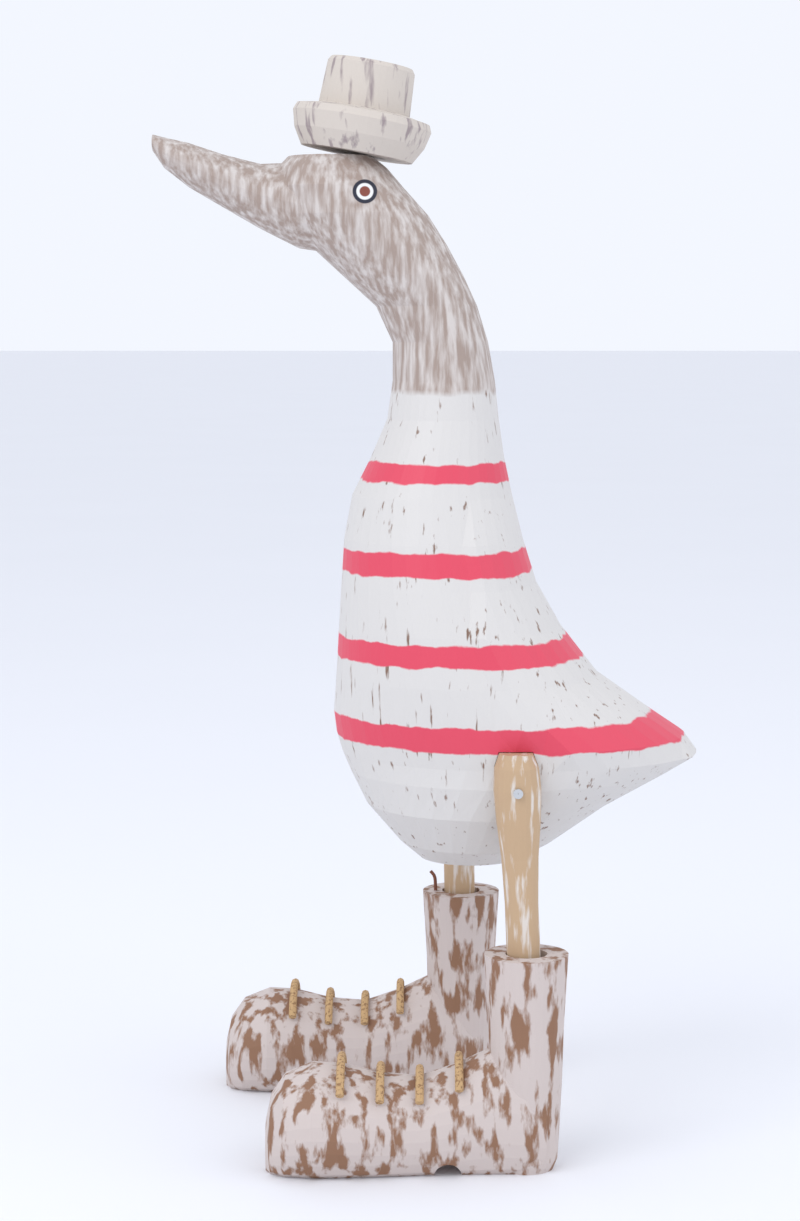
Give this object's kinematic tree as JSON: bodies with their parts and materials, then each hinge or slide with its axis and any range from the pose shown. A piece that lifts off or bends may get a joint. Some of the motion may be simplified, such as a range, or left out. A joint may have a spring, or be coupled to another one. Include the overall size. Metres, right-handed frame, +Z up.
{
  "type": "carved wooden duck",
  "caption": "Upright carved and painted wooden duck figure with a turned hat, stick legs and laced boots",
  "frame": {"origin": "middle of the bounding box in X and Y, at the soles of the boots", "axes": "+Z up, the beak points to -X and the duck's left side is -Y"},
  "size_m": [0.2, 0.147, 0.3971],
  "materials": {
    "painted_body": "matte cream wash with semi-gloss red bands",
    "hat_wood": "matte whitewashed beige wood with grain",
    "leg_wood": "worn tan wood with traces of white wash",
    "boot_wood": "whitewashed brown wood, worn at the feet",
    "twine": "dry twisted straw-coloured twine",
    "nail_steel": "dull silvery nail head",
    "twig": "reddish brown bent twig"
  },
  "bodies": {
    "root": {"duck_body": "painted_body", "hat": "hat_wood", "pin": "twig", "left_boot": "boot_wood", "left_leg": "leg_wood", "left_hip_nail": "nail_steel", "left_lace_1": "twine", "left_lace_2": "twine", "left_lace_3": "twine", "left_lace_4": "twine", "right_boot": "boot_wood", "right_leg": "leg_wood", "right_hip_nail": "nail_steel", "right_lace_1": "twine", "right_lace_2": "twine", "right_lace_3": "twine", "right_lace_4": "twine"}
  },
  "joints": []
}
